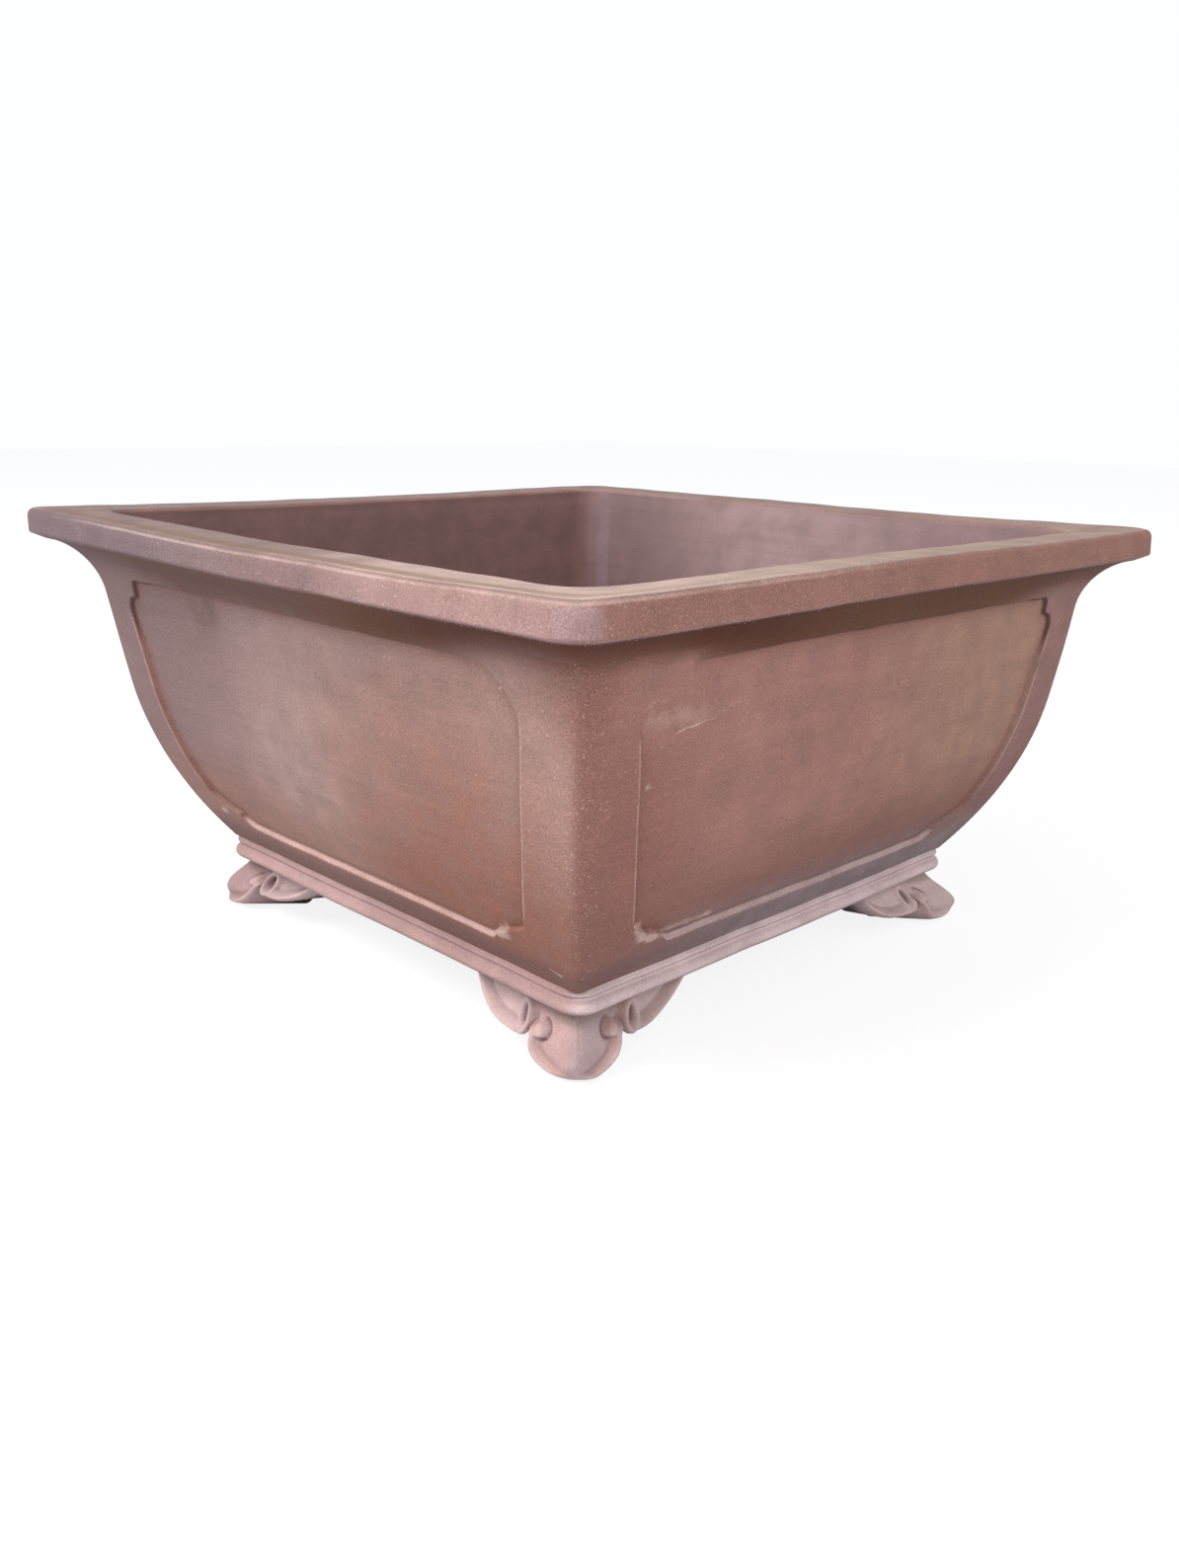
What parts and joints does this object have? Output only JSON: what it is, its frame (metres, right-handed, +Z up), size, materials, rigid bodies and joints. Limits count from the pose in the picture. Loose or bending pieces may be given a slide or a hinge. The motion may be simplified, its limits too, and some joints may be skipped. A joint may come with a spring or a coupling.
{
  "type": "bonsai pot",
  "caption": "Square slab-built bonsai pot in unglazed stoneware with a broad rim, rounded-under panelled walls, a base bead and scrolled corner feet.",
  "frame": {"origin": "on the ground, under the middle of the pot", "axes": "+Z up, front face towards -Y, right face towards +X"},
  "size_m": [0.4, 0.4, 0.2015],
  "materials": {
    "wall": "unglazed, sandy, matt",
    "rim": "unglazed, sandy, matt",
    "bead": "unglazed, matt",
    "foot": "unglazed, pressed, matt",
    "coil": "unglazed, rough",
    "floor": "unglazed, rough"
  },
  "bodies": {
    "root": {"wall_front": "wall", "wall_right": "wall", "wall_back": "wall", "wall_left": "wall", "rim_strip_front": "rim", "rim_strip_right": "rim", "rim_strip_back": "rim", "rim_strip_left": "rim", "base_bead_front": "bead", "base_bead_right": "bead", "base_bead_back": "bead", "base_bead_left": "bead", "foot_front_right": "foot", "foot_back_right": "foot", "foot_back_left": "foot", "foot_front_left": "foot", "corner_coil_front_right": "coil", "corner_coil_back_right": "coil", "corner_coil_back_left": "coil", "corner_coil_front_left": "coil", "floor_slab": "floor"}
  },
  "joints": []
}
